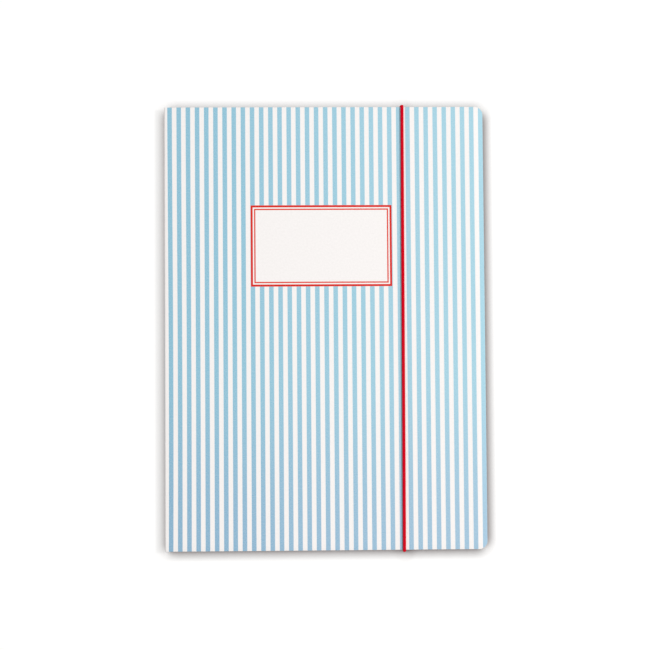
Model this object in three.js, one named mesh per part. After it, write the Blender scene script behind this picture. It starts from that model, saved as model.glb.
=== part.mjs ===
// Three-flap folder for A4 papers, closed and lying on its back, in millimetres.
// X runs from the spine to the fore-edge, Y up the page and Z up through the folder.
// The origin is below the middle of the folder, at the level of the surface it lies on.
// One printed card blank is cut and creased flat, and then folded round the papers.
import * as THREE from 'three';

// Driving sizes
const WIDTH = 231;
const HEIGHT = 320;
const BOARD = 0.8;
const POCKET = 4.6;
const CLEARANCE = 0.25;
const OVERHANG = 0.6;
const FOLD_RADIUS = 1.1;
const CREASE_GAP = 0.15;
const COVER_CORNER = 6;

// Flaps: how far each reaches in from its wall, and how its free end is cut
const END_FLAP_DEPTH = 92;
const SIDE_FLAP_DEPTH = 104;
const FLAP_TAPER = 9;
const FLAP_CORNER = 12;
const SPINE_NOTCH = 3;
const CORNER_RELIEF = 1.6;

// Elastic: an oval cord held by a crimped bar at each end
const CORD_WIDTH = 2.3;
const CORD_THICKNESS = 1.4;
const CORD_FROM_SPINE = 172;
const HOLE_DIAMETER = 4;
const HOLE_MARGIN = 1;
const HOLE_FROM_END = 14;
const BAR_LENGTH = 17;
const BAR_WIDTH = 3.2;
const BAR_THICKNESS = 1.2;
const BAR_EDGE = 0.25;
const CRIMP_LENGTH = 3.4;
const CRIMP_DEPTH = 0.35;

// Print: stripes counted from the front crease, and the bare label in its two red lines
const STRIPE_PITCH = 6.63;
const STRIPE_WIDTH = 3.3;
const FIRST_STRIPE = 2.3;
const LABEL_LEFT = 62.6;
const LABEL_TOP = 71.5;
const LABEL_WIDTH = 102;
const LABEL_HEIGHT = 58.9;
const OUTER_LINE = 1.4;
const BETWEEN_LINES = 1.2;
const INNER_LINE = 0.8;

// Facets
const FOLD_STEPS = 2;
const CORNER_STEPS = 6;
const HOLE_SIDES = 12;
const CORD_SIDES = 10;
const CORD_BEND_STEPS = 4;
const MITRE_REACH = 3.5;
const SAME_PLACE = 1e-6;
const WELD = 1e-4;

// Levels, from the surface that the folder lies on upwards
const backUnderside = CORD_THICKNESS + CLEARANCE;
const backInside = backUnderside + BOARD;
const endFlapTop = backInside + POCKET + BOARD;
const sideFlapTop = endFlapTop + CLEARANCE + BOARD;
const coverTop = sideFlapTop + CLEARANCE + BOARD;
const spineHeight = coverTop - backUnderside;

// Flat sizes of the blank, measured on its printed face
const foldLength = FOLD_RADIUS * Math.PI / 2;
const spineEdge = -WIDTH / 2;
const foreFold = WIDTH / 2 - OVERHANG - FOLD_RADIUS;
const endFold = HEIGHT / 2 - OVERHANG - FOLD_RADIUS;
const cordX = spineEdge + CORD_FROM_SPINE;
const holeY = HEIGHT / 2 - HOLE_FROM_END;

const ink = {
  blue: new THREE.Color('#a3cfe1'),
  white: new THREE.Color('#f6f4f2'),
  red: new THREE.Color('#e0301f'),
};

const card = new THREE.MeshStandardMaterial({ vertexColors: true, roughness: 0.62, metalness: 0 });
const rubber = new THREE.MeshStandardMaterial({ color: '#d8101f', roughness: 0.75, metalness: 0 });
const steel = new THREE.MeshStandardMaterial({ color: '#c4c6c9', roughness: 0.35, metalness: 1 });

// Flat work: a field is a convex outline of [x, y] points, counter-clockwise

function signedArea([a, b, c]) {
  return ((b[0] - a[0]) * (c[1] - a[1]) - (c[0] - a[0]) * (b[1] - a[1])) / 2;
}

function crossing(p, q, axis, at) {
  const swap = p[0] > q[0] || (p[0] === q[0] && p[1] > q[1]);
  const [from, to] = swap ? [q, p] : [p, q];
  const share = (at - from[axis]) / (to[axis] - from[axis]);
  const point = [0, 1].map((k) => from[k] + share * (to[k] - from[k]));
  point[axis] = at;
  return point;
}

// The part of a field on one side of a line across x (axis 0) or y (axis 1)
function keepSide(field, axis, at, side) {
  const beyond = field.map((point) => side * (point[axis] - at));
  if (!beyond.some((distance) => distance > SAME_PLACE)) return [];
  const kept = [];
  field.forEach((point, i) => {
    const next = (i + 1) % field.length;
    if (beyond[i] > -SAME_PLACE) kept.push(point);
    const leaves = beyond[i] > SAME_PLACE && beyond[next] < -SAME_PLACE;
    const enters = beyond[i] < -SAME_PLACE && beyond[next] > SAME_PLACE;
    if (leaves || enters) kept.push(crossing(point, field[next], axis, at));
  });
  return kept;
}

function cutFields(fields, axis, lines) {
  return lines.reduce((cells, at) => cells
    .flatMap((cell) => [1, -1].map((side) => keepSide(cell, axis, at, side)))
    .filter((cell) => cell.length > 2), fields);
}

// Each corner that lies within another cell's edge becomes a point of that edge too
function meetNeighbours(cells) {
  const corners = [...new Map(cells.flat().map((point) => [keyOf(point), point])).values()];
  return cells.map((cell) => cell.flatMap((point, i) => {
    const next = cell[(i + 1) % cell.length];
    const length = Math.hypot(next[0] - point[0], next[1] - point[1]);
    const between = corners.map((corner) => {
      const run = [corner[0] - point[0], corner[1] - point[1]];
      const along = (run[0] * (next[0] - point[0]) + run[1] * (next[1] - point[1])) / length;
      return { corner, along, off: Math.abs(2 * signedArea([point, next, corner]) / length) };
    }).filter(({ along, off }) => (
      off < SAME_PLACE && along > WELD && along < length - WELD));
    between.sort((a, b) => a.along - b.along);
    return [point, ...between.map(({ corner }) => corner)];
  }));
}

// A cell's triangles, cut off one corner at a time, the smallest first
function trianglesOf(cell) {
  const points = cell.slice();
  const triangles = [];
  while (points.length > 3) {
    const ears = points.map((point, i) => (
      [points.at(i - 1), point, points[(i + 1) % points.length]]));
    const areas = ears.map((ear) => {
      const area = signedArea(ear);
      return area > SAME_PLACE ? area : Infinity;
    });
    const smallest = areas.indexOf(Math.min(...areas));
    triangles.push(ears[smallest]);
    points.splice(smallest, 1);
  }
  return [...triangles, points];
}

function keyOf(point) {
  return point.map((value) => Math.round(value / WELD)).join();
}

// An outline from corners [x, y, radius], each rounded by an arc that meets both its sides
function roundedOutline(corners) {
  return corners.flatMap(([x, y, radius = 0], i) => {
    if (radius === 0) return [[x, y]];
    const corner = new THREE.Vector2(x, y);
    const towards = (other) => new THREE.Vector2(other[0], other[1]).sub(corner).normalize();
    const back = towards(corners[(i + corners.length - 1) % corners.length]);
    const ahead = towards(corners[(i + 1) % corners.length]);
    const halfAngle = back.angleTo(ahead) / 2;
    const middle = back.clone().add(ahead).normalize();
    const centre = corner.clone().addScaledVector(middle, radius / Math.sin(halfAngle));
    const run = radius / Math.tan(halfAngle);
    const start = corner.clone().addScaledVector(back, run).sub(centre);
    const end = corner.clone().addScaledVector(ahead, run).sub(centre);
    const clockwise = start.cross(end) < 0;
    const arc = new THREE.EllipseCurve(
      centre.x, centre.y, radius, radius, start.angle(), end.angle(), clockwise);
    return arc.getPoints(CORNER_STEPS).map((point) => [point.x, point.y]);
  });
}

function rectangle(left, bottom, right, top) {
  return [[left, bottom], [right, bottom], [right, top], [left, top]];
}

// The four mitred strips between a rectangle and one inside it
function frameFields(outer, inner) {
  return outer.map((corner, i) => {
    const next = (i + 1) % outer.length;
    return [corner, outer[next], inner[next], inner[i]];
  });
}

// The card between a round hole and the square around it
function fieldsRoundHole(x, y, diameter, square) {
  const rim = Array.from({ length: HOLE_SIDES }, (_, i) => {
    const turn = (i + 0.5) * 2 * Math.PI / HOLE_SIDES;
    const [across, up] = [Math.cos(turn), Math.sin(turn)];
    const reach = square / 2 / Math.max(Math.abs(across), Math.abs(up));
    return {
      inner: [x + across * diameter / 2, y + up * diameter / 2],
      outer: [x + across * reach, y + up * reach],
    };
  });
  return rim.map(({ inner, outer }, i) => {
    const next = rim[(i + 1) % HOLE_SIDES];
    return [outer, next.outer, next.inner, inner];
  });
}

// Print: blankX is the distance across the flat blank from the front crease, negative behind it

function stripeEdges(fromX, toX) {
  const edges = [];
  const first = Math.floor((fromX - FIRST_STRIPE) / STRIPE_PITCH);
  const last = Math.ceil((toX - FIRST_STRIPE) / STRIPE_PITCH);
  for (let stripe = first; stripe <= last; stripe += 1) {
    const start = FIRST_STRIPE + stripe * STRIPE_PITCH;
    edges.push(start, start + STRIPE_WIDTH);
  }
  return edges.filter((edge) => edge > fromX && edge < toX);
}

function stripeColour(blankX) {
  const stripes = (blankX - FIRST_STRIPE) / STRIPE_PITCH;
  const within = (stripes - Math.floor(stripes)) * STRIPE_PITCH;
  return within < STRIPE_WIDTH ? ink.blue : ink.white;
}

// Folded card: fold(x, y, depth) gives the place of a flat point, depth below the printed face
function cardMesh(name, cells, fold, printAt) {
  const faces = [];
  const edgeUses = new Map();
  for (const [a, b, c] of meetNeighbours(cells).flatMap(trianglesOf)) {
    const middle = [0, 1].map((k) => (a[k] + b[k] + c[k]) / 3);
    faces.push({ corners: [[a, 0], [b, 0], [c, 0]], colour: printAt(...middle) });
    faces.push({ corners: [[c, BOARD], [b, BOARD], [a, BOARD]], colour: ink.white });
    for (const [p, q] of [[a, b], [b, c], [c, a]]) {
      const back = `${keyOf(q)} ${keyOf(p)}`;
      if (!edgeUses.delete(back)) edgeUses.set(`${keyOf(p)} ${keyOf(q)}`, [p, q]);
    }
  }
  for (const [p, q] of edgeUses.values()) {
    faces.push({ corners: [[q, 0], [p, 0], [p, BOARD]], colour: ink.white });
    faces.push({ corners: [[q, 0], [p, BOARD], [q, BOARD]], colour: ink.white });
  }
  const placed = faces.map(({ corners, colour }) => ({
    corners: corners.map(([point, depth]) => fold(...point, depth)),
    colour,
  }));
  const volume = placed.reduce((sum, { corners: [p, q, r] }) => (
    sum + p.dot(q.clone().cross(r)) / 6), 0);
  const positions = [];
  const colours = [];
  for (const { corners, colour } of placed) {
    const ordered = volume > 0 ? corners : corners.slice().reverse();
    for (const corner of ordered) {
      positions.push(...corner);
      colours.push(colour.r, colour.g, colour.b);
    }
  }
  const geometry = new THREE.BufferGeometry();
  geometry.setAttribute('position', new THREE.Float32BufferAttribute(positions, 3));
  geometry.setAttribute('color', new THREE.Float32BufferAttribute(colours, 3));
  geometry.computeVertexNormals();
  const mesh = new THREE.Mesh(geometry, card);
  mesh.name = name;
  return mesh;
}

// The plain face is drawn in by its depth at a mitred edge, and by less further from the edge
function mitreShift(fromEdge, depth) {
  return depth * Math.max(0, 1 - fromEdge / MITRE_REACH);
}

// A flap's path in section: along the back, up a wall and back in, with a round fold at each end
// of the wall. It gives how far out and how high a point lies, at a depth below the printed face.
function foldedSection(along, depth, foldAt, flapTop) {
  const wall = flapTop - backUnderside - 2 * FOLD_RADIUS;
  const arcAt = (distance, level, turned) => {
    const angle = turned + distance / FOLD_RADIUS;
    const reach = FOLD_RADIUS - depth;
    return [foldAt + reach * Math.sin(angle), level - reach * Math.cos(angle)];
  };
  let rest = along - foldAt;
  if (rest <= 0) return [along, backUnderside + depth];
  if (rest <= foldLength) return arcAt(rest, backUnderside + FOLD_RADIUS, 0);
  rest -= foldLength;
  if (rest <= wall) return [foldAt + FOLD_RADIUS - depth, backUnderside + FOLD_RADIUS + rest];
  rest -= wall;
  if (rest <= foldLength) return arcAt(rest, flapTop - FOLD_RADIUS, Math.PI / 2);
  return [foldAt - (rest - foldLength), flapTop - depth];
}

function foldLines(foldAt, flapTop) {
  const wall = flapTop - backUnderside - 2 * FOLD_RADIUS;
  const starts = [foldAt, foldAt + foldLength + wall];
  return starts.flatMap((start) => Array.from({ length: FOLD_STEPS + 1 }, (_, i) => (
    start + foldLength * i / FOLD_STEPS)));
}

function backWithFlaps() {
  const left = spineEdge + CREASE_GAP;
  const endLines = foldLines(endFold, endFlapTop);
  const sideLines = foldLines(foreFold, sideFlapTop);
  const endBase = endLines.at(-1);
  const sideBase = sideLines.at(-1);
  const endTip = endBase + END_FLAP_DEPTH - FOLD_RADIUS;
  const sideTip = sideBase + SIDE_FLAP_DEPTH - FOLD_RADIUS;
  const notch = spineEdge + SPINE_NOTCH;
  const wallEnd = foreFold - CORNER_RELIEF;
  const sideEnd = endFold - CORNER_RELIEF;

  const panel = [
    [left, -endFold],
    [wallEnd, -endFold],
    [foreFold, -sideEnd],
    [foreFold, sideEnd],
    [wallEnd, endFold],
    [left, endFold],
  ];
  const topFlap = roundedOutline([
    [notch, endFold],
    [wallEnd, endFold],
    [wallEnd, endBase],
    [wallEnd - FLAP_TAPER, endTip, FLAP_CORNER],
    [notch + FLAP_TAPER, endTip, FLAP_CORNER],
    [notch, endBase],
  ]);
  const bottomFlap = topFlap.map(([x, y]) => [x, -y]).reverse();
  const sideFlap = roundedOutline([
    [foreFold, -sideEnd],
    [sideBase, -sideEnd],
    [sideTip, FLAP_TAPER - sideEnd, FLAP_CORNER],
    [sideTip, sideEnd - FLAP_TAPER, FLAP_CORNER],
    [sideBase, sideEnd],
    [foreFold, sideEnd],
  ]);

  const square = HOLE_DIAMETER + 2 * HOLE_MARGIN;
  const columnSides = [cordX - square / 2, cordX + square / 2];
  const squareEdges = [-holeY, holeY].flatMap((y) => [y - square / 2, y + square / 2]);
  const column = keepSide(keepSide(panel, 0, columnSides[0], 1), 0, columnSides[1], -1);
  const columnFields = cutFields([column], 1, squareEdges).filter((field) => {
    const middle = field.reduce((sum, [, y]) => sum + y, 0) / field.length;
    return Math.abs(Math.abs(middle) - holeY) > square / 2;
  });
  const fields = [
    keepSide(panel, 0, columnSides[0], -1),
    ...columnFields,
    ...fieldsRoundHole(cordX, -holeY, HOLE_DIAMETER, square),
    ...fieldsRoundHole(cordX, holeY, HOLE_DIAMETER, square),
    keepSide(panel, 0, columnSides[1], 1),
    topFlap,
    bottomFlap,
    sideFlap,
  ];

  const toBlank = (x) => spineEdge - x - spineHeight;
  const stripeLines = stripeEdges(toBlank(sideTip), toBlank(left)).map(toBlank);
  const folded = cutFields(fields, 1, endLines.flatMap((line) => [line, -line]));
  const cells = cutFields(folded, 0, [...sideLines, ...stripeLines]);
  const fold = (x, y, depth) => {
    if (Math.abs(y) > endFold) {
      const [out, level] = foldedSection(Math.abs(y), depth, endFold, endFlapTop);
      return new THREE.Vector3(x, Math.sign(y) * out, level);
    }
    const mitred = x + mitreShift(x - left, depth);
    const [out, level] = foldedSection(mitred, depth, foreFold, sideFlapTop);
    return new THREE.Vector3(out, y, level);
  };
  return cardMesh('back_with_flaps', cells, fold, (x) => stripeColour(toBlank(x)));
}

function spine() {
  const top = -CREASE_GAP;
  const bottom = CREASE_GAP - spineHeight;
  const field = rectangle(bottom, -HEIGHT / 2, top, HEIGHT / 2);
  const cells = cutFields([field], 0, stripeEdges(bottom, top));
  const fold = (x, y, depth) => {
    const mitred = x + mitreShift(x - bottom, depth) - mitreShift(top - x, depth);
    return new THREE.Vector3(spineEdge + depth, y, coverTop + mitred);
  };
  return cardMesh('spine', cells, fold, stripeColour);
}

function frontCover() {
  const half = HEIGHT / 2;
  const outline = roundedOutline([
    [CREASE_GAP, -half],
    [WIDTH, -half, COVER_CORNER],
    [WIDTH, half, COVER_CORNER],
    [CREASE_GAP, half],
  ]);
  const labelRight = LABEL_LEFT + LABEL_WIDTH;
  const labelTop = half - LABEL_TOP;
  const labelBottom = labelTop - LABEL_HEIGHT;
  const insets = [0, OUTER_LINE, OUTER_LINE + BETWEEN_LINES, OUTER_LINE + BETWEEN_LINES + INNER_LINE];
  const frames = insets.map((inset) => rectangle(
    LABEL_LEFT + inset, labelBottom + inset, labelRight - inset, labelTop - inset));
  const column = keepSide(keepSide(outline, 0, LABEL_LEFT, 1), 0, labelRight, -1);
  const fields = [
    keepSide(outline, 0, LABEL_LEFT, -1),
    keepSide(column, 1, labelBottom, -1),
    keepSide(column, 1, labelTop, 1),
    keepSide(outline, 0, labelRight, 1),
    ...frames.slice(1).flatMap((inner, i) => frameFields(frames[i], inner)),
    frames.at(-1),
  ];
  const fold = (x, y, depth) => {
    const mitred = x + mitreShift(x - CREASE_GAP, depth);
    return new THREE.Vector3(spineEdge + mitred, y, coverTop - depth);
  };
  const print = (x, y) => {
    const inset = Math.min(x - LABEL_LEFT, labelRight - x, y - labelBottom, labelTop - y);
    if (inset < 0) return stripeColour(x);
    const onLine = inset < insets[1] || (inset > insets[2] && inset < insets[3]);
    return onLine ? ink.red : ink.white;
  };
  return cardMesh('front_cover', cutFields(fields, 0, stripeEdges(CREASE_GAP, WIDTH)), fold, print);
}

// The cord's middle line in section, from the lower bar round to the upper one: through the hole,
// along under the back, up the end and over the front. Each bend turns about the card's own edge.
function cordRoute() {
  const bend = CLEARANCE + CORD_THICKNESS / 2;
  const corners = [
    { y: -holeY - bend, z: backUnderside, from: 0, turn: -Math.PI / 2 },
    { y: -HEIGHT / 2, z: backUnderside, from: -Math.PI / 2, turn: -Math.PI / 2 },
    { y: -HEIGHT / 2, z: coverTop, from: -Math.PI, turn: -Math.PI / 2 },
  ];
  const lower = corners.flatMap(({ y, z, from, turn }) => (
    Array.from({ length: CORD_BEND_STEPS + 1 }, (_, i) => {
      const angle = from + turn * i / CORD_BEND_STEPS;
      const out = [Math.cos(angle), Math.sin(angle)];
      return { y: y + bend * out[0], z: z + bend * out[1], out };
    })));
  const start = { y: -holeY, z: backInside, out: [1, 0] };
  const half = [start, ...lower];
  const mirrored = half.map(({ y, z, out }) => ({ y: -y, z, out: [-out[0], out[1]] })).reverse();
  return [...half, ...mirrored];
}

function elastic() {
  const rings = cordRoute().map(({ y, z, out }) => (
    Array.from({ length: CORD_SIDES }, (_, i) => {
      const turn = (i + 0.5) * 2 * Math.PI / CORD_SIDES;
      const across = Math.cos(turn) * CORD_WIDTH / 2 / Math.cos(Math.PI / CORD_SIDES);
      const proud = Math.sin(turn) * CORD_THICKNESS / 2;
      return [cordX + across, y + proud * out[0], z + proud * out[1]];
    })));
  const positions = rings.flat(2);
  const faces = [];
  const ringStart = (ring) => ring * CORD_SIDES;
  for (let ring = 0; ring < rings.length - 1; ring += 1) {
    for (let side = 0; side < CORD_SIDES; side += 1) {
      const next = (side + 1) % CORD_SIDES;
      const [a, b] = [ringStart(ring) + side, ringStart(ring) + next];
      const [c, d] = [ringStart(ring + 1) + side, ringStart(ring + 1) + next];
      faces.push(a, d, b, a, c, d);
    }
  }
  for (let side = 1; side < CORD_SIDES - 1; side += 1) {
    const end = ringStart(rings.length - 1);
    faces.push(0, side, side + 1, end, end + side + 1, end + side);
  }
  const geometry = new THREE.BufferGeometry();
  geometry.setAttribute('position', new THREE.Float32BufferAttribute(positions, 3));
  geometry.setIndex(faces);
  geometry.computeVertexNormals();
  const mesh = new THREE.Mesh(geometry, rubber);
  mesh.name = 'elastic';
  return mesh;
}

// A flat metal bar with round ends, nipped in on both sides where it is crimped on the cord
function elasticBar(name, y) {
  const halfLength = BAR_LENGTH / 2 - BAR_EDGE;
  const halfWidth = BAR_WIDTH / 2 - BAR_EDGE;
  const nip = CRIMP_LENGTH / 2;
  const shape = new THREE.Shape();
  shape.moveTo(-halfLength + halfWidth, -halfWidth);
  shape.lineTo(-nip, -halfWidth);
  shape.quadraticCurveTo(0, -halfWidth + 2 * CRIMP_DEPTH, nip, -halfWidth);
  shape.lineTo(halfLength - halfWidth, -halfWidth);
  shape.absarc(halfLength - halfWidth, 0, halfWidth, -Math.PI / 2, Math.PI / 2, false);
  shape.lineTo(nip, halfWidth);
  shape.quadraticCurveTo(0, halfWidth - 2 * CRIMP_DEPTH, -nip, halfWidth);
  shape.lineTo(-halfLength + halfWidth, halfWidth);
  shape.absarc(-halfLength + halfWidth, 0, halfWidth, Math.PI / 2, Math.PI * 1.5, false);
  const geometry = new THREE.ExtrudeGeometry(shape, {
    depth: BAR_THICKNESS - 2 * BAR_EDGE,
    bevelThickness: BAR_EDGE,
    bevelSize: BAR_EDGE,
    bevelSegments: 1,
    curveSegments: 6,
  });
  const mesh = new THREE.Mesh(geometry, steel);
  mesh.name = name;
  mesh.position.set(cordX, y, backInside + CLEARANCE + BAR_EDGE);
  return mesh;
}

const folder = new THREE.Group();
folder.add(backWithFlaps(), spine(), frontCover(), elastic());
folder.add(elasticBar('elastic_bar_bottom', -holeY), elasticBar('elastic_bar_top', holeY));

export default folder;
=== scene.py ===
"""Looks of a three-flap card folder, closed and lying on its back with its spine at -X."""
import math

import bmesh
import bpy
from mathutils import Matrix, Vector


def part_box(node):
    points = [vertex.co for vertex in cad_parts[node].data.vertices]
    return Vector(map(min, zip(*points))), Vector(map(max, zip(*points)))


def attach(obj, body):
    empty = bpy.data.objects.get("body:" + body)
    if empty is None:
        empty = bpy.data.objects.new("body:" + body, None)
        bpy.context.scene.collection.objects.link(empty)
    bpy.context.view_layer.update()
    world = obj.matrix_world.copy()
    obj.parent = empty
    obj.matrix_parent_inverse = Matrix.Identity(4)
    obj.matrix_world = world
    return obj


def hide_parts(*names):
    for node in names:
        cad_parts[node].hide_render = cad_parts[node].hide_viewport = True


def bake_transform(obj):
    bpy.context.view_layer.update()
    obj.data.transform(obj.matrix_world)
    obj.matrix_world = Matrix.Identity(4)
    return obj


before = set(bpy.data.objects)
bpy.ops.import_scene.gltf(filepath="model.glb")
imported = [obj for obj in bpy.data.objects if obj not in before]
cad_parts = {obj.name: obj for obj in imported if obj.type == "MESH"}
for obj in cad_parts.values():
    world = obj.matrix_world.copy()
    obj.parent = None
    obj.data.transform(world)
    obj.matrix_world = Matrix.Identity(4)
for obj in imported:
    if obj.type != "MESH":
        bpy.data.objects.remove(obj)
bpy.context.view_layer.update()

# Lengths are in metres, and small ones are written as so many millimetres
MM = 0.001

# Sizes and levels, from the parts in model.glb
cover_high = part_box("front_cover")[1]
back_low, back_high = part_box("back_with_flaps")
spine_low, spine_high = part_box("spine")
cord_low, cord_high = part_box("elastic")
BOARD = spine_high.x - spine_low.x
SPINE_X = spine_low.x
FORE_X = cover_high.x
HALF_HEIGHT = cover_high.y
COVER_TOP = cover_high.z
BACK_UNDERSIDE = back_low.z
SIDE_FLAP_TOP = back_high.z

# Sizes of the card blank
FOLD_RADIUS = 1.1 * MM
END_FLAP_DEPTH = 92 * MM
SIDE_FLAP_DEPTH = 104 * MM
FLAP_TAPER = 9 * MM
FLAP_CORNER = 12 * MM
SPINE_NOTCH = 3 * MM
CORNER_RELIEF = 1.6 * MM
COVER_CORNER = 6 * MM
LAYER_GAP = 0.25 * MM
HOLE_DIAMETER = 4 * MM
HOLE_FROM_END = 14 * MM

# Sizes of the print: counted from the front crease across, and from the head down
STRIPE_PITCH = 6.63 * MM
STRIPE_WIDTH = 3.3 * MM
FIRST_STRIPE = 2.3 * MM
LABEL_LEFT = 62.2 * MM
LABEL_TOP = 71.5 * MM
LABEL_WIDTH = 102 * MM
LABEL_HEIGHT = 58.9 * MM
OUTER_LINE = 1.5 * MM
BETWEEN_LINES = 1.0 * MM
INNER_LINE = 0.95 * MM

# Colours of the print, with the blue painted in shade towards the spine and lit towards the fore-edge, and
# the tint that it takes on from a little below the middle to the foot
PAPER_WHITE = "#faf6f4"
SHADED_BLUE_BY_SPINE = "#82bed6"
LIT_BLUE_BY_FORE_EDGE = "#a1d3e4"
FOOT_TINT = "#f8ecf6"
FOOT_TINT_START = -20 * MM
OUTER_LINE_RED = "#dc2a1c"
INNER_LINE_RED = "#e2402c"

# The print wanders by the front crease: how far, how soon that fades, and where along the crease
WANDER = 0.8 * MM
WANDER_FADE = 20 * MM
WANDER_MIDDLE = -50 * MM
WANDER_SPAN = 230 * MM

# How the card bends and lies
CREASE_RADIUS = 0.9 * MM
CREASE_REACH = 3 * MM
COVER_BOW = 0.45 * MM
BOW_START = 7 * MM
FORE_EDGE_LIFT = 0.3 * MM
EDGE_SOFTNESS = 0.12 * MM

# How finely the card is drawn, and the angle from which one of its edges looks sharp
GRID = 8 * MM
FOLD_STEPS = 6
CORNER_STEPS = 10
EDGE_STEPS = 2
HOLE_SIDES = 32
CARD_SHARP_ANGLE = math.radians(40)
SAME_PLACE = 1e-6

# Which of the card's three materials is on which of its faces
PRINTED_SIDE, PLAIN_SIDE, CUT_SIDE = 0, 1, 2

# Elastic cord: how far it leans and slips on the cover, how finely it is drawn, and its braid
CORD_LEAN = 0.6 * MM
CORD_SLIP = 0.2 * MM
CORD_SIDES = 30
CORD_STEP = 0.28 * MM
CORD_BEND_STEPS = 10
CORD_SHARP_ANGLE = math.radians(50)
BRAID_STRANDS = 6
BRAID_PITCH = 1.4 * MM
BRAID_DEPTH = 0.05 * MM
YARN = 0.3 * MM

# Floor shadow: its reach, how open the floor is and what light is left where it is darkest, and its lean
SHADOW_REACH = 9 * MM
SHADOW_CORE = 0.49
SHADOW_DEPTH = 0.15
SHADOW_COLOUR = "#55403f"
SHADOW_LEAN = {"X": -0.3, "Y": 0.2, "Z": 0.93}

# Floor: its own paleness for the light in the room and for the camera, and the glow that whitens it
FLOOR_REACH = 3.0
FLOOR_PALENESS = 0.85
FLOOR_SEEN = 0.2
FLOOR_GLOW = 0.84
FLOOR_WHITE = "#fffefd"

# Light of the room, and the lamp's power, place and size
ROOM_LIGHT = 0.54
KEY_POWER = 58
KEY_PLACE = (1.9, 0.2, 2.6)
KEY_SIZE = 0.4

# Camera: the place that it looks at, its distance from there, its tilt, and its lens in millimetres
CAMERA_AIM = (-0.08 * MM, 1.68 * MM, COVER_TOP)
CAMERA_DISTANCE = 1.5
CAMERA_TILT = (math.radians(3.614), math.radians(-1.731), math.radians(-0.418))
CAMERA_NEAREST = 0.01
LENS = 115.26
LENS_SENSOR = 36

# Worked out from the values above
END_FLAP_TOP = SIDE_FLAP_TOP - LAYER_GAP - BOARD
SPINE_HEIGHT = COVER_TOP - BACK_UNDERSIDE
PANEL_LEFT = SPINE_X + CREASE_REACH
HOLE_Y = HALF_HEIGHT - HOLE_FROM_END
CORD_X = (cord_low.x + cord_high.x) / 2
CORD_WIDTH = cord_high.x - cord_low.x
CORD_THICKNESS = BACK_UNDERSIDE - LAYER_GAP - cord_low.z
FORE_FOLD = back_high.x - FOLD_RADIUS
END_FOLD = back_high.y - FOLD_RADIUS
FOLD_LENGTH = FOLD_RADIUS * math.pi / 2


def linear(hex_colour):
    """An sRGB hex value as linear red, green, blue and alpha."""
    parts = [int(hex_colour[i:i + 2], 16) / 255 for i in (1, 3, 5)]
    flat = [part / 12.92 if part <= 0.04045 else ((part + 0.055) / 1.055) ** 2.4 for part in parts]
    return (*flat, 1.0)


def add(tree, kind, inputs=None, **settings):
    """Adds a node, makes its settings, and sets or links each of its named inputs."""
    made = tree.nodes.new("ShaderNode" + kind)
    for name, value in settings.items():
        setattr(made, name, value)
    for key, value in (inputs or {}).items():
        if isinstance(value, bpy.types.NodeSocket):
            tree.links.new(value, made.inputs[key])
        else:
            made.inputs[key].default_value = value
    return made


def new_material(name):
    """A material with nothing in it yet, and its node tree."""
    material = bpy.data.materials.new(name)
    material.use_nodes = True
    tree = material.node_tree
    tree.nodes.clear()
    return material, tree


def stripe_mask(tree, across):
    """1 on a blue stripe, from the distance to the nearest stripe's middle in shares of the pitch."""
    softness = 0.06 * MM / STRIPE_PITCH
    half_stripe = STRIPE_WIDTH / STRIPE_PITCH / 2
    middle = 0.5 - (FIRST_STRIPE + STRIPE_WIDTH / 2) / STRIPE_PITCH
    turn = add(tree, "Math", {0: across, 1: 1 / STRIPE_PITCH, 2: middle}, operation="MULTIPLY_ADD")
    share = add(tree, "Math", {0: turn.outputs[0]}, operation="FRACT")
    off = add(tree, "Math", {0: share.outputs[0], 1: 0.5}, operation="SUBTRACT")
    distance = add(tree, "Math", {0: off.outputs[0]}, operation="ABSOLUTE").outputs[0]
    return add(tree, "MapRange", {"Value": distance, "From Min": half_stripe + softness,
                                  "From Max": half_stripe - softness}).outputs["Result"]


def label_masks(tree, across, up):
    """1 on the label's outer line, 1 on its inner line, and 1 everywhere outside the label."""
    softness = 0.05 * MM
    middle_x = LABEL_LEFT + LABEL_WIDTH / 2
    middle_y = HALF_HEIGHT - LABEL_TOP - LABEL_HEIGHT / 2
    insets = []
    for coordinate, middle, half in ((across, middle_x, LABEL_WIDTH / 2), (up, middle_y, LABEL_HEIGHT / 2)):
        aside = add(tree, "Math", {0: coordinate, 1: middle}, operation="SUBTRACT")
        size = add(tree, "Math", {0: aside.outputs[0]}, operation="ABSOLUTE")
        insets.append(add(tree, "Math", {0: half, 1: size.outputs[0]}, operation="SUBTRACT").outputs[0])
    inset = add(tree, "Math", {0: insets[0], 1: insets[1]}, operation="MINIMUM").outputs[0]

    # How far in from the label's outer edge each line starts and ends
    steps = []
    inner_start = OUTER_LINE + BETWEEN_LINES
    for edge in (0, OUTER_LINE, inner_start, inner_start + INNER_LINE):
        steps.append(add(tree, "MapRange", {"Value": inset, "From Min": edge - softness,
                                            "From Max": edge + softness}).outputs["Result"])
    outer = add(tree, "Math", {0: steps[0], 1: steps[1]}, operation="SUBTRACT").outputs[0]
    inner = add(tree, "Math", {0: steps[2], 1: steps[3]}, operation="SUBTRACT").outputs[0]
    outside = add(tree, "Math", {0: 1.0, 1: steps[0]}, operation="SUBTRACT").outputs[0]
    return outer, inner, outside


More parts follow.
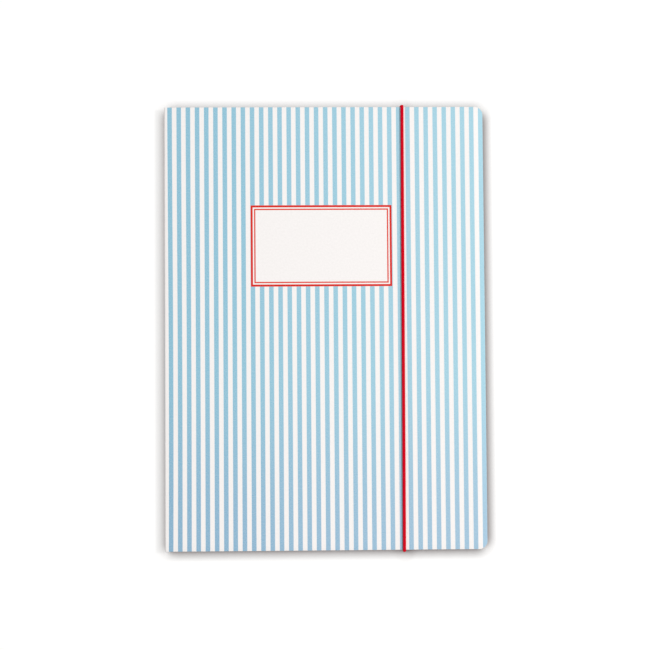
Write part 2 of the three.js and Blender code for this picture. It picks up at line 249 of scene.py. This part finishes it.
def blue_ink_with_shade(tree, place):
    """The blue, painted darker towards the spine as shade and lighter towards the fore-edge as light, and
    turning to lavender towards the foot.
    """
    # Painted shade: the blue darkens from the fore-edge towards the spine, away from the lamp
    painted_shade_across = add(tree, "MapRange", {"Value": place["X"], "From Max": FORE_X - SPINE_X}).outputs["Result"]
    blue = add(tree, "Mix", {"Factor": painted_shade_across, "A": linear(SHADED_BLUE_BY_SPINE), "B": linear(LIT_BLUE_BY_FORE_EDGE)},
               data_type="RGBA").outputs["Result"]
    down = {"Value": place["Y"], "From Min": FOOT_TINT_START, "From Max": -HALF_HEIGHT}
    foot = add(tree, "MapRange", down, interpolation_type="SMOOTHSTEP").outputs["Result"]
    return add(tree, "Mix", {"Factor": foot, "A": blue, "B": linear(FOOT_TINT)},
               data_type="RGBA", blend_type="MULTIPLY").outputs["Result"]


def printed_paper():
    """Offset-printed matt paper on card: flat pale ink that sinks in a little, with a fine tooth."""
    creep_size, creep_reach = 0.9 * MM, 0.05 * MM
    grain_size, mottle_size = 0.8 * MM, 1.4 * MM
    tooth_size, tooth_depth = 0.35 * MM, 0.03 * MM
    material, tree = new_material("offset_printed_matt_paper")
    blank = add(tree, "UVMap", uv_map="Blank").outputs["UV"]
    place = add(tree, "SeparateXYZ", {"Vector": blank}).outputs

    # Ink creeps along the fibres, so an edge wanders by a few hundredths of a millimetre
    creep = add(tree, "TexNoise", {"Vector": blank, "Scale": 1 / creep_size, "Detail": 2.0})
    wander = add(tree, "Math", {0: creep.outputs["Fac"], 1: 2 * creep_reach, 2: -creep_reach},
                 operation="MULTIPLY_ADD").outputs[0]
    across = add(tree, "Math", {0: place["X"], 1: wander}, operation="ADD").outputs[0]
    up = add(tree, "Math", {0: place["Y"], 1: wander}, operation="ADD").outputs[0]
    stripe = stripe_mask(tree, across)
    outer, inner, outside = label_masks(tree, across, up)

    # The ink takes unevenly on the paper, in grains somewhat under a millimetre, so flat blue looks alive
    grain = add(tree, "TexNoise", {"Vector": blank, "Scale": 1 / grain_size, "Detail": 2.0}).outputs["Fac"]
    taken = add(tree, "MapRange", {"Value": grain, "From Min": 0.3, "From Max": 0.7, "To Min": 0.80,
                                   "To Max": 1.0}).outputs["Result"]
    for mask in (outside, taken):
        stripe = add(tree, "Math", {0: stripe, 1: mask}, operation="MULTIPLY").outputs[0]

    # Mottle of the ink and the paper, over a millimetre across so that it shows at this size
    cloud = add(tree, "TexNoise", {"Vector": blank, "Scale": 1 / mottle_size, "Detail": 4.0,
                                   "Roughness": 0.6}).outputs["Fac"]
    mottle = add(tree, "MapRange", {"Value": cloud, "From Min": 0.3, "From Max": 0.7, "To Min": 0.965,
                                    "To Max": 1.02}).outputs["Result"]
    mixed = linear(PAPER_WHITE)
    for mask, ink in ((stripe, blue_ink_with_shade(tree, place)), (outer, linear(OUTER_LINE_RED)),
                      (inner, linear(INNER_LINE_RED))):
        mixed = add(tree, "Mix", {"Factor": mask, "A": mixed, "B": ink}, data_type="RGBA").outputs["Result"]
    colour = add(tree, "VectorMath", {0: mixed, "Scale": mottle}, operation="SCALE").outputs["Vector"]

    # Paper tooth: real fibres lie closer, and are drawn a third of a millimetre apart so that they show
    tooth = add(tree, "TexNoise", {"Vector": blank, "Scale": 1 / tooth_size, "Detail": 3.0}).outputs["Fac"]
    bump = add(tree, "Bump", {"Height": tooth, "Strength": 0.35, "Distance": tooth_depth}).outputs["Normal"]
    rough = add(tree, "MapRange", {"Value": cloud, "To Min": 0.56, "To Max": 0.70}).outputs["Result"]
    shader = add(tree, "BsdfPrincipled", {"Base Color": colour, "Roughness": rough, "Normal": bump,
                                          "Specular IOR Level": 0.15})
    add(tree, "OutputMaterial", {"Surface": shader.outputs["BSDF"]})
    return material


def plain_board():
    """Uncoated white side of the card: dull, with clouds from the pulp and faint fibres, which are drawn
    coarse so that they show."""
    cloud_size = 5 * MM
    fibre_size, fibre_depth = 0.5 * MM, 0.04 * MM
    material, tree = new_material("uncoated_white_board")
    blank = add(tree, "UVMap", uv_map="Blank").outputs["UV"]
    cloud = add(tree, "TexNoise", {"Vector": blank, "Scale": 1 / cloud_size, "Detail": 6.0,
                                   "Roughness": 0.7}).outputs["Fac"]
    colour = add(tree, "Mix", {"Factor": cloud, "A": linear("#efece6"), "B": linear("#f9f7f3")},
                 data_type="RGBA").outputs["Result"]
    fibres = add(tree, "TexNoise", {"Vector": blank, "Scale": 1 / fibre_size, "Detail": 4.0}).outputs["Fac"]
    bump = add(tree, "Bump", {"Height": fibres, "Strength": 0.5, "Distance": fibre_depth}).outputs["Normal"]
    shader = add(tree, "BsdfPrincipled", {"Base Color": colour, "Roughness": 0.82, "Normal": bump,
                                          "Specular IOR Level": 0.15})
    add(tree, "OutputMaterial", {"Surface": shader.outputs["BSDF"]})
    return material


def cut_edge():
    """Die-cut edge of the card: the raw pulp core in thin layers, a shade warmer than its faces."""
    layer_length, layer_depth = 1.2 * MM, 0.05 * MM
    thinner_upright = (1.0, 1.0, 9.0)
    material, tree = new_material("die_cut_board_edge")
    place = add(tree, "TexCoord").outputs["Object"]
    flat = add(tree, "VectorMath", {0: place, 1: thinner_upright}, operation="MULTIPLY").outputs["Vector"]
    layers = add(tree, "TexNoise", {"Vector": flat, "Scale": 1 / layer_length, "Detail": 4.0}).outputs["Fac"]
    colour = add(tree, "Mix", {"Factor": layers, "A": linear("#ddd8ce"), "B": linear("#f3f0ea")},
                 data_type="RGBA").outputs["Result"]
    bump = add(tree, "Bump", {"Height": layers, "Strength": 0.6, "Distance": layer_depth}).outputs["Normal"]
    shader = add(tree, "BsdfPrincipled", {"Base Color": colour, "Roughness": 0.9, "Normal": bump,
                                          "Specular IOR Level": 0.2})
    add(tree, "OutputMaterial", {"Surface": shader.outputs["BSDF"]})
    return material


def braided_elastic():
    """Polyester yarn braided over a rubber core: a dull deep red, with painted shade that darkens it where
    the strands cross under.
    """
    yarn_depth = 0.02 * MM
    material, tree = new_material("braided_polyester_elastic")
    cord = add(tree, "UVMap", uv_map="Cord").outputs["UV"]
    place = add(tree, "SeparateXYZ", {"Vector": cord}).outputs

    # The strands follow those of the mesh, and each is of yarns laid side by side
    waves = []
    for scale in (1.0, BRAID_PITCH / YARN):
        for lay in (1, -1):
            slant = add(tree, "Math", {0: place["Y"], 1: lay / BRAID_PITCH, 2: place["X"]},
                        operation="MULTIPLY_ADD")
            phase = add(tree, "Math", {0: slant.outputs[0], 1: 2 * math.pi * scale}, operation="MULTIPLY")
            waves.append(add(tree, "Math", {0: phase.outputs[0]}, operation="COSINE").outputs[0])
    strands = add(tree, "Math", {0: waves[0], 1: waves[1]}, operation="MAXIMUM").outputs[0]
    yarns = add(tree, "Math", {0: waves[2], 1: waves[3]}, operation="MAXIMUM").outputs[0]
    # Painted shade: the red darkens in the hollows where the strands cross under
    shade = add(tree, "MapRange", {"Value": strands, "From Min": -1.0, "From Max": 1.0}).outputs["Result"]
    colour = add(tree, "Mix", {"Factor": shade, "A": linear("#a80015"), "B": linear("#e00020")},
                 data_type="RGBA").outputs["Result"]
    bump = add(tree, "Bump", {"Height": yarns, "Strength": 0.4, "Distance": yarn_depth}).outputs["Normal"]
    shader = add(tree, "BsdfPrincipled", {"Base Color": colour, "Roughness": 0.7, "Normal": bump,
                                          "Specular IOR Level": 0.06})
    add(tree, "OutputMaterial", {"Surface": shader.outputs["BSDF"]})
    return material


def nickel_plate():
    """Nickel-plated steel strip, rolled and crimped: soft grey metal with fine lengthwise lines, which are
    drawn coarse so that they show."""
    line_length, line_depth = 2 * MM, 0.01 * MM
    thinner_aside = (1.0, 14.0, 14.0)
    material, tree = new_material("nickel_plated_steel")
    place = add(tree, "TexCoord").outputs["Object"]
    drawn = add(tree, "VectorMath", {0: place, 1: thinner_aside}, operation="MULTIPLY").outputs["Vector"]
    lines = add(tree, "TexNoise", {"Vector": drawn, "Scale": 1 / line_length, "Detail": 3.0}).outputs["Fac"]
    rough = add(tree, "MapRange", {"Value": lines, "To Min": 0.22, "To Max": 0.42}).outputs["Result"]
    bump = add(tree, "Bump", {"Height": lines, "Strength": 0.3, "Distance": line_depth}).outputs["Normal"]
    shader = add(tree, "BsdfPrincipled", {"Base Color": linear("#c8c5bf"), "Metallic": 1.0,
                                          "Roughness": rough, "Normal": bump})
    add(tree, "OutputMaterial", {"Surface": shader.outputs["BSDF"]})
    return material


def new_object(name, data):
    """Puts a mesh, a lamp or a camera in the scene as an object."""
    made = bpy.data.objects.new(name, data)
    bpy.context.scene.collection.objects.link(made)
    return made


def keep_modified(piece):
    """Makes what the modifiers give a piece its own mesh."""
    bpy.context.view_layer.update()
    evaluated = piece.evaluated_get(bpy.context.evaluated_depsgraph_get())
    mesh = bpy.data.meshes.new_from_object(evaluated)
    piece.modifiers.clear()
    piece.data = mesh


def rounded_outline(corners):
    """An outline from corners (x, y, radius), each rounded by an arc that meets both its sides."""
    points = []
    for i, (x, y, radius) in enumerate(corners):
        corner = Vector((x, y))
        if radius == 0:
            points.append(corner)
            continue
        back = (Vector(corners[i - 1][:2]) - corner).normalized()
        ahead = (Vector(corners[(i + 1) % len(corners)][:2]) - corner).normalized()
        half_angle = back.angle(ahead) / 2
        centre = corner + (back + ahead).normalized() * radius / math.sin(half_angle)
        start = corner + back * radius / math.tan(half_angle) - centre
        sweep = math.pi - 2 * half_angle
        for step in range(CORNER_STEPS + 1):
            points.append(centre + Matrix.Rotation(sweep * step / CORNER_STEPS, 2) @ start)
    return points


def grid_lines(low, high):
    """Evenly spaced lines between two places, about one grid step apart."""
    count = max(1, round((high - low) / GRID))
    return [low + (high - low) * i / count for i in range(1, count)]


def cut_flat(outlines, across, along):
    """Flat card outlines cut into small faces along lines across x and along y."""
    flat = bmesh.new()
    for outline in outlines:
        flat.faces.new([flat.verts.new((x, y, 0)) for x, y in outline])
    bmesh.ops.remove_doubles(flat, verts=flat.verts, dist=SAME_PLACE)
    for normal, lines in ((Vector((1, 0, 0)), across), (Vector((0, 1, 0)), along)):
        for at in lines:
            everything = flat.verts[:] + flat.edges[:] + flat.faces[:]
            bmesh.ops.bisect_plane(flat, geom=everything, dist=SAME_PLACE, plane_co=normal * at,
                                   plane_no=normal)
    flat.verts.index_update()
    return flat


def card_piece(name, flat, place, blank, joined):
    """Card of its real thickness: place(x, y, depth) folds the flat sheet, blank(x, y) is its place in the
    print, and the edges at the x values in joined stay square because the next piece goes on from there."""
    count = len(flat.verts)
    spots = [(vert.co.x, vert.co.y) for vert in flat.verts]
    verts = [place(x, y, depth) for depth in (0, BOARD) for x, y in spots]
    printed = [[vert.index for vert in face.verts] for face in flat.faces]
    plain = [[index + count for index in reversed(ring)] for ring in printed]
    rims = []
    for edge in flat.edges:
        if edge.is_boundary:
            loop = edge.link_loops[0]
            a, b = loop.vert.index, loop.link_loop_next.vert.index
            rims.append([b, a, a + count, b + count])
    flat.free()
    mesh = bpy.data.meshes.new(name)
    mesh.from_pydata(verts, [], printed + plain + rims)
    sides = [PRINTED_SIDE] * len(printed) + [PLAIN_SIDE] * len(plain) + [CUT_SIDE] * len(rims)
    mesh.polygons.foreach_set("material_index", sides)
    for material in CARD:
        mesh.materials.append(material)

    # The print's place on each face, and which edges are softened
    shaped = bmesh.new()
    shaped.from_mesh(mesh)
    bmesh.ops.recalc_face_normals(shaped, faces=shaped.faces)
    weights = shaped.edges.layers.float.new("bevel_weight_edge")
    uv = shaped.loops.layers.uv.new("Blank")
    for face in shaped.faces:
        face.smooth = True
        for loop in face.loops:
            loop[uv].uv = blank(*spots[loop.vert.index % count])
    for edge in shaped.edges:
        at_rim = len({face.material_index for face in edge.link_faces}) == 2
        ends = [spots[vert.index % count][0] for vert in edge.verts]
        square = any(all(abs(x - line) < SAME_PLACE for x in ends) for line in joined)
        edge[weights] = 1.0 if at_rim and not square else 0.0
    shaped.to_mesh(mesh)
    shaped.free()
    return new_object(name, mesh)


def soften_edges(piece):
    """Rounds the cut edges of a card piece a little."""
    bevel = piece.modifiers.new("soft_edge", "BEVEL")
    bevel.limit_method = "WEIGHT"
    bevel.width = EDGE_SOFTNESS
    bevel.segments = EDGE_STEPS
    keep_modified(piece)
    piece.data.set_sharp_from_angle(angle=CARD_SHARP_ANGLE)


def punch(piece, x, y, low, high):
    """Punches a round hole through the card between two levels."""
    hole = bmesh.new()
    bmesh.ops.create_cone(hole, cap_ends=True, segments=HOLE_SIDES, radius1=HOLE_DIAMETER / 2,
                          radius2=HOLE_DIAMETER / 2, depth=high - low,
                          matrix=Matrix.Translation((x, y, (low + high) / 2)))
    mesh = bpy.data.meshes.new("hole")
    hole.to_mesh(mesh)
    hole.free()
    mesh.materials.append(CARD[CUT_SIDE])
    punched = new_object("hole", mesh)
    cut = piece.modifiers.new("hole", "BOOLEAN")
    cut.object = punched
    cut.operation = "DIFFERENCE"
    cut.solver = "EXACT"
    cut.material_mode = "TRANSFER"
    keep_modified(piece)
    bpy.data.objects.remove(punched)


def cover_lift(x):
    """How far the cover stands off its plane: it springs up past the crease, the cord presses it down, and
    its fore-edge lifts a little."""
    if x < CORD_X:
        share = (x - PANEL_LEFT) / (CORD_X - PANEL_LEFT)
        return COVER_BOW * (1 - math.exp((PANEL_LEFT - x) / BOW_START)) * (1 - share ** 4)
    share = (x - CORD_X) / (FORE_X - CORD_X)
    return FORE_EDGE_LIFT * share ** 2


def wall_height(flap_top):
    """The flat height of a wall, between its two folds."""
    return flap_top - BACK_UNDERSIDE - 2 * FOLD_RADIUS


def folded_section(along, depth, fold_at, flap_top):
    """How far out and how high a point of a flap lies: along the back, up a wall and back in."""
    wall = wall_height(flap_top)
    reach = FOLD_RADIUS - depth
    rest = along - fold_at
    if rest <= 0:
        return along, BACK_UNDERSIDE + depth
    if rest <= FOLD_LENGTH:
        angle = rest / FOLD_RADIUS
        return fold_at + reach * math.sin(angle), BACK_UNDERSIDE + FOLD_RADIUS - reach * math.cos(angle)
    rest -= FOLD_LENGTH
    if rest <= wall:
        return fold_at + reach, BACK_UNDERSIDE + FOLD_RADIUS + rest
    rest -= wall
    if rest <= FOLD_LENGTH:
        angle = math.pi / 2 + rest / FOLD_RADIUS
        return fold_at + reach * math.sin(angle), flap_top - FOLD_RADIUS - reach * math.cos(angle)
    return fold_at - (rest - FOLD_LENGTH), flap_top - depth


def fold_lines(fold_at, flap_top):
    """Where the flat sheet is cut so that both folds of a wall come out round."""
    starts = (fold_at, fold_at + FOLD_LENGTH + wall_height(flap_top))
    return [start + FOLD_LENGTH * step / FOLD_STEPS for start in starts for step in range(FOLD_STEPS + 1)]


def front_print(along, y):
    """The part of the print at a place, counted from the front crease: the card bulges a little by the
    spine, which carries the stripes aside there."""
    share = (1 + math.cos(math.pi * (y - WANDER_MIDDLE) / WANDER_SPAN)) / 2
    fade = math.exp(-along / WANDER_FADE) if along > 0 else 1 + along / SPINE_HEIGHT
    return along - WANDER * share * fade, y


def back_print(along, y):
    """The part of the print at a place on the back, counted from the back crease."""
    return -SPINE_HEIGHT - along, y


def back_card():
    """Back panel with its top, bottom and side flaps, in one folded sheet."""
    end_lines = fold_lines(END_FOLD, END_FLAP_TOP)
    side_lines = fold_lines(FORE_FOLD, SIDE_FLAP_TOP)
    end_base, side_base = end_lines[-1], side_lines[-1]
    end_tip = end_base + END_FLAP_DEPTH - FOLD_RADIUS
    side_tip = side_base + SIDE_FLAP_DEPTH - FOLD_RADIUS
    notch = max(SPINE_X + SPINE_NOTCH, PANEL_LEFT)
    wall_end = FORE_FOLD - CORNER_RELIEF
    side_end = END_FOLD - CORNER_RELIEF
    panel = [(PANEL_LEFT, -END_FOLD), (wall_end, -END_FOLD), (FORE_FOLD, -side_end),
             (FORE_FOLD, side_end), (wall_end, END_FOLD), (PANEL_LEFT, END_FOLD)]
    top_flap = rounded_outline([
        (notch, END_FOLD, 0), (wall_end, END_FOLD, 0), (wall_end, end_base, 0),
        (wall_end - FLAP_TAPER, end_tip, FLAP_CORNER), (notch + FLAP_TAPER, end_tip, FLAP_CORNER),
        (notch, end_base, 0)])
    bottom_flap = [(x, -y) for x, y in reversed(top_flap)]
    side_flap = rounded_outline([
        (FORE_FOLD, -side_end, 0), (side_base, -side_end, 0),
        (side_tip, FLAP_TAPER - side_end, FLAP_CORNER), (side_tip, side_end - FLAP_TAPER, FLAP_CORNER),
        (side_base, side_end, 0), (FORE_FOLD, side_end, 0)])
    across = grid_lines(PANEL_LEFT, FORE_FOLD) + side_lines + grid_lines(side_base, side_tip)
    upper = end_lines + grid_lines(end_base, end_tip)
    along = grid_lines(-END_FOLD, END_FOLD) + upper + [-line for line in upper]
    flat = cut_flat([panel, top_flap, bottom_flap, side_flap], across, along)

    def place(x, y, depth):
        if abs(y) > END_FOLD + SAME_PLACE:
            out, level = folded_section(abs(y), depth, END_FOLD, END_FLAP_TOP)
            return x, math.copysign(out, y), level
        out, level = folded_section(x, depth, FORE_FOLD, SIDE_FLAP_TOP)
        return out, y, level

    def blank(x, y):
        return back_print(x - SPINE_X, y)

    piece = card_piece("back_with_flaps_card", flat, place, blank, joined=(PANEL_LEFT,))
    for y in (-HOLE_Y, HOLE_Y):
        punch(piece, CORD_X, y, BACK_UNDERSIDE - BOARD, BACK_UNDERSIDE + 2 * BOARD)
    soften_edges(piece)
    return piece


def cover_card():
    """Front cover, with round corners at the fore-edge and a slight bow."""
    outline = rounded_outline([
        (PANEL_LEFT, -HALF_HEIGHT, 0), (FORE_X, -HALF_HEIGHT, COVER_CORNER),
        (FORE_X, HALF_HEIGHT, COVER_CORNER), (PANEL_LEFT, HALF_HEIGHT, 0)])
    flat = cut_flat([outline], grid_lines(PANEL_LEFT, FORE_X), grid_lines(-HALF_HEIGHT, HALF_HEIGHT))

    def place(x, y, depth):
        return x, y, COVER_TOP + cover_lift(x) - depth

    def blank(x, y):
        return front_print(x - SPINE_X, y)

    piece = card_piece("front_cover_card", flat, place, blank, joined=(PANEL_LEFT,))
    soften_edges(piece)
    return piece


def spine_card():
    """The flat middle of the spine, between its two creases."""
    low, high = CREASE_REACH - SPINE_HEIGHT, -CREASE_REACH
    outline = [(low, -HALF_HEIGHT), (high, -HALF_HEIGHT), (high, HALF_HEIGHT), (low, HALF_HEIGHT)]
    flat = cut_flat([outline], [], grid_lines(-HALF_HEIGHT, HALF_HEIGHT))

    def place(x, y, depth):
        return SPINE_X + depth, y, COVER_TOP + x

    piece = card_piece("spine_card", flat, place, front_print, joined=(low, high))
    soften_edges(piece)
    return piece


def crease_section(along, depth):
    """A corner in section: straight, round and straight again. It gives the way in from each outer face."""
    if along <= -CREASE_RADIUS:
        return depth, -along
    if along >= CREASE_RADIUS:
        return along, depth
    angle = (along / CREASE_RADIUS + 1) * math.pi / 4
    reach = CREASE_RADIUS - depth
    return CREASE_RADIUS - reach * math.cos(angle), CREASE_RADIUS - reach * math.sin(angle)


def crease_card(name, corner_level, inward, half_height, blank):
    """One spine crease: a strip that turns the corner from the spine to a panel."""
    outline = [(-CREASE_REACH, -half_height), (CREASE_REACH, -half_height),
               (CREASE_REACH, half_height), (-CREASE_REACH, half_height)]
    steps = [CREASE_RADIUS * (2 * step / FOLD_STEPS - 1) for step in range(FOLD_STEPS + 1)]
    flat = cut_flat([outline], steps, grid_lines(-half_height, half_height))

    def place(x, y, depth):
        out, down = crease_section(x, depth)
        return SPINE_X + out, y, corner_level + inward * down

    piece = card_piece(name, flat, place, blank, joined=(-CREASE_REACH, CREASE_REACH))
    soften_edges(piece)
    return piece


def cord_route():
    """The cord's middle line and outward direction, as (y, z, out_y, out_z), from one bar to the other."""
    bend = LAYER_GAP + CORD_THICKNESS / 2
    corners = ((-HOLE_Y - bend, BACK_UNDERSIDE, 0), (-HALF_HEIGHT, BACK_UNDERSIDE, -math.pi / 2),
               (-HALF_HEIGHT, COVER_TOP, -math.pi))
    half = [(-HOLE_Y, BACK_UNDERSIDE + BOARD, 1.0, 0.0)]
    for y, z, start in corners:
        for step in range(CORD_BEND_STEPS + 1):
            angle = start - math.pi / 2 * step / CORD_BEND_STEPS
            out = math.cos(angle), math.sin(angle)
            half.append((y + bend * out[0], z + bend * out[1], *out))
    whole = half + [(-y, z, -out_y, out_z) for y, z, out_y, out_z in reversed(half)]
    route = []
    for first, second in zip(whole, whole[1:]):
        pieces = max(1, round(math.dist(first[:2], second[:2]) / CORD_STEP))
        for step in range(pieces):
            route.append([a + (b - a) * (step / pieces) for a, b in zip(first, second)])
    route.append(list(whole[-1]))
    return route


def braided_ring(centre, outward, length):
    """Points round the cord at a length along it, set in where the strands of both lays cross under."""
    lay = 2 * math.pi * length / BRAID_PITCH
    points = []
    for side in range(CORD_SIDES):
        turn = 2 * math.pi * side / CORD_SIDES
        strand = max(math.cos(BRAID_STRANDS * turn + lay), math.cos(BRAID_STRANDS * turn - lay))
        inset = BRAID_DEPTH * (1 - strand) / 2
        aside = math.cos(turn) * (CORD_WIDTH / 2 - inset)
        proud = math.sin(turn) * (CORD_THICKNESS / 2 - inset)
        points.append((centre[0] + aside, centre[1] + proud * outward[0], centre[2] + proud * outward[1]))
    return points


def elastic_cord():
    """The braided cord, oval where it is pulled flat against the card."""
    route = cord_route()
    travelled = [0.0]
    for first, second in zip(route, route[1:]):
        travelled.append(travelled[-1] + math.dist(first[:2], second[:2]))
    verts = []
    for (y, z, *outward), length in zip(route, travelled):
        rise = min(1.0, max(0.0, (z - BACK_UNDERSIDE) / SPINE_HEIGHT))
        middle = CORD_X + (CORD_LEAN * y / HALF_HEIGHT - CORD_SLIP) * rise
        verts += braided_ring((middle, y, z), outward, length)
    faces = []
    for ring in range(len(route) - 1):
        for side in range(CORD_SIDES):
            a, b = ring * CORD_SIDES + side, ring * CORD_SIDES + (side + 1) % CORD_SIDES
            faces.append((a, b, b + CORD_SIDES, a + CORD_SIDES))
    last = (len(route) - 1) * CORD_SIDES
    caps = [tuple(range(CORD_SIDES)), tuple(range(last, last + CORD_SIDES))]
    mesh = bpy.data.meshes.new("elastic_cord")
    mesh.from_pydata(verts, [], faces + caps)

    # Strands round the cord and metres along it. Each ring's last face ends a full turn on, not at 0
    uv = mesh.uv_layers.new(name="Cord")
    for index, polygon in enumerate(mesh.polygons):
        for corner, loop in enumerate(polygon.loop_indices):
            ring, side = divmod(mesh.loops[loop].vertex_index, CORD_SIDES)
            wrapped = index < len(faces) and side == 0 and corner in (1, 2)
            turn = (CORD_SIDES if wrapped else side) / CORD_SIDES
            uv.data[loop].uv = (turn * BRAID_STRANDS, travelled[ring])
    shaped = bmesh.new()
    shaped.from_mesh(mesh)
    bmesh.ops.recalc_face_normals(shaped, faces=shaped.faces)
    for face in shaped.faces:
        face.smooth = True
    shaped.to_mesh(mesh)
    shaped.free()
    mesh.set_sharp_from_angle(angle=CORD_SHARP_ANGLE)
    mesh.materials.append(ELASTIC)
    return new_object("elastic_cord", mesh)


def set_camera():
    """Over the folder at the photograph's angle, which leans a few degrees to the foot and the spine."""
    data = bpy.data.cameras.new("camera")
    data.lens = LENS
    data.sensor_width = LENS_SENSOR
    data.clip_start = CAMERA_NEAREST
    camera = new_object("camera", data)
    camera.rotation_euler = CAMERA_TILT
    outward = camera.rotation_euler.to_matrix() @ Vector((0, 0, CAMERA_DISTANCE))
    camera.location = Vector(CAMERA_AIM) + outward
    bpy.context.scene.camera = camera


def seen_directly(tree):
    """1 for what the camera sees, also in metal or through glass, and 0 for light that falls on things."""
    path = add(tree, "LightPath").outputs
    seen = path["Is Camera Ray"]
    for ray in ("Is Glossy Ray", "Is Transmission Ray"):
        seen = add(tree, "Math", {0: seen, 1: path[ray]}, operation="MAXIMUM").outputs[0]
    return seen


def white_sweep():
    """Matt white paper under the folder: it looks white, and dark where the folder keeps the room's light
    from it."""
    material, tree = new_material("white_paper_sweep")
    seen = seen_directly(tree)
    lean = add(tree, "CombineXYZ", SHADOW_LEAN).outputs["Vector"]
    near = add(tree, "AmbientOcclusion", {"Distance": SHADOW_REACH, "Normal": lean}, samples=16)
    open_share = add(tree, "MapRange", {"Value": near.outputs["AO"], "From Min": SHADOW_CORE,
                                        "To Min": SHADOW_DEPTH}, clamp=True).outputs["Result"]
    own = add(tree, "MapRange", {"Value": seen, "To Min": FLOOR_PALENESS, "To Max": FLOOR_SEEN})
    shade = add(tree, "Math", {0: own.outputs["Result"], 1: open_share}, operation="MULTIPLY").outputs[0]
    colour = add(tree, "CombineColor", {"Red": shade, "Green": shade, "Blue": shade}).outputs["Color"]
    fill = add(tree, "Math", {0: seen, 1: FLOOR_GLOW}, operation="MULTIPLY").outputs[0]
    glow = add(tree, "Mix", {"Factor": open_share, "A": linear(SHADOW_COLOUR), "B": linear(FLOOR_WHITE)},
               data_type="RGBA").outputs["Result"]
    shader = add(tree, "BsdfPrincipled", {"Base Color": colour, "Roughness": 0.9, "Specular IOR Level": 0.0,
                                          "Emission Color": glow, "Emission Strength": fill})
    add(tree, "OutputMaterial", {"Surface": shader.outputs["BSDF"]})
    return material


def set_floor():
    """A wide flat floor that the folder lies on."""
    corners = [(x * FLOOR_REACH, y * FLOOR_REACH, 0) for x, y in ((-1, -1), (1, -1), (1, 1), (-1, 1))]
    mesh = bpy.data.meshes.new("floor")
    mesh.from_pydata(corners, [], [(0, 1, 2, 3)])
    mesh.materials.append(white_sweep())
    new_object("floor", mesh)


def set_lights():
    """A pale room, and one soft lamp from the fore-edge and a little from the head."""
    world = bpy.data.worlds.new("pale_room")
    world.use_nodes = True
    tree = world.node_tree
    tree.nodes.clear()
    strength = add(tree, "MapRange", {"Value": seen_directly(tree), "To Min": ROOM_LIGHT}).outputs["Result"]
    light = add(tree, "Background", {"Color": (1.0, 1.0, 1.0, 1.0), "Strength": strength})
    add(tree, "OutputWorld", {"Surface": light.outputs["Background"]})
    bpy.context.scene.world = world

    data = bpy.data.lights.new("key_softbox", "AREA")
    data.size = KEY_SIZE
    data.energy = KEY_POWER
    lamp = new_object("key_softbox", data)
    lamp.location = KEY_PLACE
    lamp.rotation_euler = (-Vector(KEY_PLACE)).to_track_quat("-Z", "Y").to_euler()


CARD = (printed_paper(), plain_board(), cut_edge())
ELASTIC = braided_elastic()
NICKEL = nickel_plate()

set_camera()
set_floor()
set_lights()

back = back_card()
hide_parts("back_with_flaps")
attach(back, "back")

cover = cover_card()
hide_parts("front_cover")
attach(cover, "front_cover")

spine = spine_card()
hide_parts("spine")
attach(spine, "spine")

front_crease = crease_card("front_crease", COVER_TOP, -1, HALF_HEIGHT, front_print)
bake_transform(front_crease)

back_crease = crease_card("back_crease", BACK_UNDERSIDE, 1, END_FOLD, back_print)
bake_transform(back_crease)

cord = elastic_cord()
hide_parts("elastic")
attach(cord, "back")

for name in ("elastic_bar_bottom", "elastic_bar_top"):
    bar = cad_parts[name]
    bar.data.materials.clear()
    bar.data.materials.append(NICKEL)

bpy.context.scene.view_settings.view_transform = "Standard"
